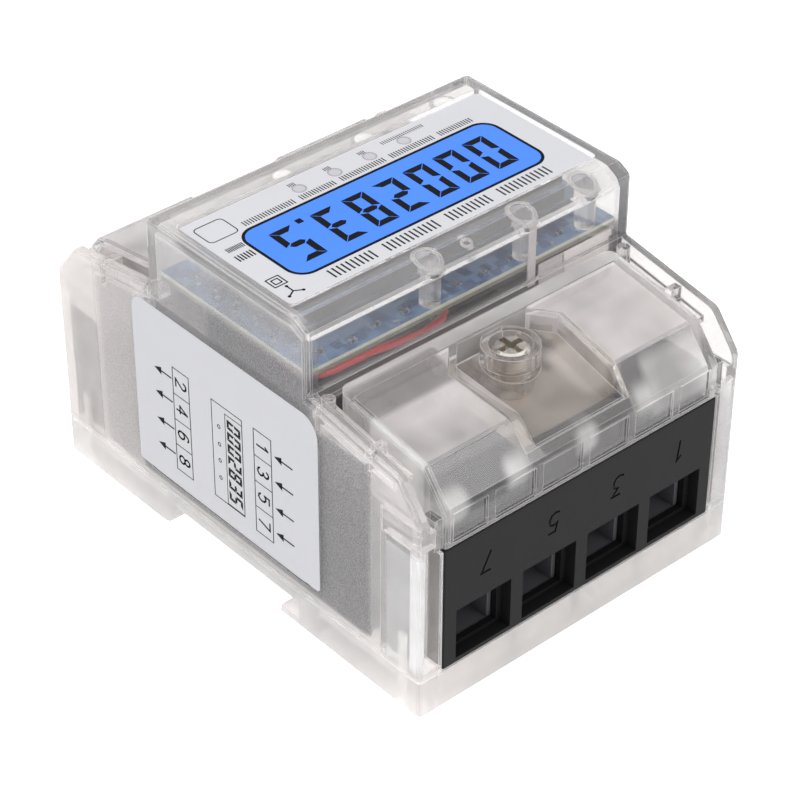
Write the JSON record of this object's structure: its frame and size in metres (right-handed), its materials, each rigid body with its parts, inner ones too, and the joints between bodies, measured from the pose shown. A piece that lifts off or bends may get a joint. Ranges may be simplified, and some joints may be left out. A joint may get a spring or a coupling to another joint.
{
  "type": "din rail energy meter",
  "caption": "Clear-cased three-phase energy meter for a DIN rail, with lift-off terminal covers, rising-cage screw terminals and a spring rail clip.",
  "frame": {"origin": "middle of the underside, on the plane that the meter lies on", "axes": "+Z out of the display, X across the poles, -Y towards the terminals with odd numbers"},
  "size_m": [0.075, 0.1, 0.0661],
  "materials": {
    "clear_case": "clear polycarbonate, polished outside, fine grain inside",
    "frosted_cover": "clear polycarbonate with a frosted underside",
    "black_moulding": "satin black flame-retardant moulding",
    "plated_steel": "nickel-plated steel",
    "brass": "turned brass",
    "copper": "bare copper bar",
    "faceplate_print": "printed polyester plate, matt",
    "display_blue": "backlit blue display glass",
    "light_guide": "moulded acrylic light guide",
    "board_blue": "blue solder resist over glass laminate",
    "chip_black": "moulded epoxy package",
    "capacitor_sleeve": "shrunk plastic sleeve",
    "label_film": "printed film label",
    "clip_grey": "moulded grey polyamide",
    "red_insulation": "red PVC insulation",
    "led_lens": "clear lamp body",
    "potted_transformer": "moulded case potted in dark blue resin"
  },
  "bodies": {
    "case": {"base_tray": "clear_case", "upper_housing": "clear_case", "front_terminal_block": "black_moulding", "rear_terminal_block": "black_moulding", "inner_carrier": "black_moulding", "display_bezel": "black_moulding", "front_seal_insert": "brass", "rear_seal_insert": "brass", "faceplate": "faceplate_print", "display_glass": "display_blue", "backlight": "light_guide", "main_board": "board_blue", "metering_chip": "chip_black", "supply_capacitor_1": "capacitor_sleeve", "supply_capacitor_2": "capacitor_sleeve", "side_label": "label_film", "clip_spring": "plated_steel", "voltage_lead": "red_insulation", "indicator_led_1": "led_lens", "busbar_1": "copper", "case_screw_1": "plated_steel", "indicator_led_2": "led_lens", "busbar_2": "copper", "case_screw_2": "plated_steel", "indicator_led_3": "led_lens", "busbar_3": "copper", "case_screw_3": "plated_steel", "indicator_led_4": "led_lens", "busbar_4": "copper", "case_screw_4": "plated_steel", "current_transformer_1": "potted_transformer", "current_transformer_2": "potted_transformer", "current_transformer_3": "potted_transformer"},
    "front_cover": {"front_terminal_cover": "frosted_cover"},
    "rear_cover": {"rear_terminal_cover": "frosted_cover"},
    "front_seal": {"front_sealing_screw": "plated_steel"},
    "rear_seal": {"rear_sealing_screw": "plated_steel"},
    "rail_clip": {"din_clip": "clip_grey"},
    "screw_1": {"terminal_screw_1": "plated_steel"},
    "cage_1": {"terminal_cage_1": "plated_steel"},
    "screw_2": {"terminal_screw_2": "plated_steel"},
    "cage_2": {"terminal_cage_2": "plated_steel"},
    "screw_3": {"terminal_screw_3": "plated_steel"},
    "cage_3": {"terminal_cage_3": "plated_steel"},
    "screw_4": {"terminal_screw_4": "plated_steel"},
    "cage_4": {"terminal_cage_4": "plated_steel"},
    "screw_5": {"terminal_screw_5": "plated_steel"},
    "cage_5": {"terminal_cage_5": "plated_steel"},
    "screw_6": {"terminal_screw_6": "plated_steel"},
    "cage_6": {"terminal_cage_6": "plated_steel"},
    "screw_7": {"terminal_screw_7": "plated_steel"},
    "cage_7": {"terminal_cage_7": "plated_steel"},
    "screw_8": {"terminal_screw_8": "plated_steel"},
    "cage_8": {"terminal_cage_8": "plated_steel"}
  },
  "joints": [
    {"name": "clip_slide", "type": "slide", "parent": "case", "child": "rail_clip", "axis": [0, 1, 0], "range_m": [0, 0.004], "stiffness_N_per_m": 1500, "deforming": ["clip_spring"]},
    {"name": "front_cover_lift", "type": "slide", "parent": "case", "child": "front_cover", "axis": [0, 0, 1], "range_m": [0, 0.04]},
    {"name": "rear_cover_lift", "type": "slide", "parent": "case", "child": "rear_cover", "axis": [0, 0, 1], "range_m": [0, 0.04]},
    {"name": "front_seal_turn", "type": "hinge", "parent": "front_cover", "child": "front_seal", "pos_m": [0, -0.0308, 0.047], "axis": [0, 0, -1], "range_deg": [0, 1080]},
    {"name": "rear_seal_turn", "type": "hinge", "parent": "rear_cover", "child": "rear_seal", "pos_m": [0, 0.0308, 0.047], "axis": [0, 0, -1], "range_deg": [0, 1080]},
    {"name": "screw_1_turn", "type": "hinge", "parent": "case", "child": "screw_1", "pos_m": [0.02303, -0.0423, 0.0337], "axis": [0, 0, -1], "range_deg": [0, 2700]},
    {"name": "cage_1_rise", "type": "slide", "parent": "case", "child": "cage_1", "axis": [0, 0, 1], "range_m": [0, 0.006]},
    {"name": "screw_2_turn", "type": "hinge", "parent": "case", "child": "screw_2", "pos_m": [0.02303, 0.0423, 0.0337], "axis": [0, 0, -1], "range_deg": [0, 2700]},
    {"name": "cage_2_rise", "type": "slide", "parent": "case", "child": "cage_2", "axis": [0, 0, 1], "range_m": [0, 0.006]},
    {"name": "screw_3_turn", "type": "hinge", "parent": "case", "child": "screw_3", "pos_m": [0.00768, -0.0423, 0.0337], "axis": [0, 0, -1], "range_deg": [0, 2700]},
    {"name": "cage_3_rise", "type": "slide", "parent": "case", "child": "cage_3", "axis": [0, 0, 1], "range_m": [0, 0.006]},
    {"name": "screw_4_turn", "type": "hinge", "parent": "case", "child": "screw_4", "pos_m": [0.00768, 0.0423, 0.0337], "axis": [0, 0, -1], "range_deg": [0, 2700]},
    {"name": "cage_4_rise", "type": "slide", "parent": "case", "child": "cage_4", "axis": [0, 0, 1], "range_m": [0, 0.006]},
    {"name": "screw_5_turn", "type": "hinge", "parent": "case", "child": "screw_5", "pos_m": [-0.00768, -0.0423, 0.0337], "axis": [0, 0, -1], "range_deg": [0, 2700]},
    {"name": "cage_5_rise", "type": "slide", "parent": "case", "child": "cage_5", "axis": [0, 0, 1], "range_m": [0, 0.006]},
    {"name": "screw_6_turn", "type": "hinge", "parent": "case", "child": "screw_6", "pos_m": [-0.00768, 0.0423, 0.0337], "axis": [0, 0, -1], "range_deg": [0, 2700]},
    {"name": "cage_6_rise", "type": "slide", "parent": "case", "child": "cage_6", "axis": [0, 0, 1], "range_m": [0, 0.006]},
    {"name": "screw_7_turn", "type": "hinge", "parent": "case", "child": "screw_7", "pos_m": [-0.02303, -0.0423, 0.0337], "axis": [0, 0, -1], "range_deg": [0, 2700]},
    {"name": "cage_7_rise", "type": "slide", "parent": "case", "child": "cage_7", "axis": [0, 0, 1], "range_m": [0, 0.006]},
    {"name": "screw_8_turn", "type": "hinge", "parent": "case", "child": "screw_8", "pos_m": [-0.02303, 0.0423, 0.0337], "axis": [0, 0, -1], "range_deg": [0, 2700]},
    {"name": "cage_8_rise", "type": "slide", "parent": "case", "child": "cage_8", "axis": [0, 0, 1], "range_m": [0, 0.006]}
  ],
  "couplings": [
    {"joint": "screw_1_turn", "follows": "cage_1_rise", "rad_per_m": 7854},
    {"joint": "screw_2_turn", "follows": "cage_2_rise", "rad_per_m": 7854},
    {"joint": "screw_3_turn", "follows": "cage_3_rise", "rad_per_m": 7854},
    {"joint": "screw_4_turn", "follows": "cage_4_rise", "rad_per_m": 7854},
    {"joint": "screw_5_turn", "follows": "cage_5_rise", "rad_per_m": 7854},
    {"joint": "screw_6_turn", "follows": "cage_6_rise", "rad_per_m": 7854},
    {"joint": "screw_7_turn", "follows": "cage_7_rise", "rad_per_m": 7854},
    {"joint": "screw_8_turn", "follows": "cage_8_rise", "rad_per_m": 7854}
  ]
}
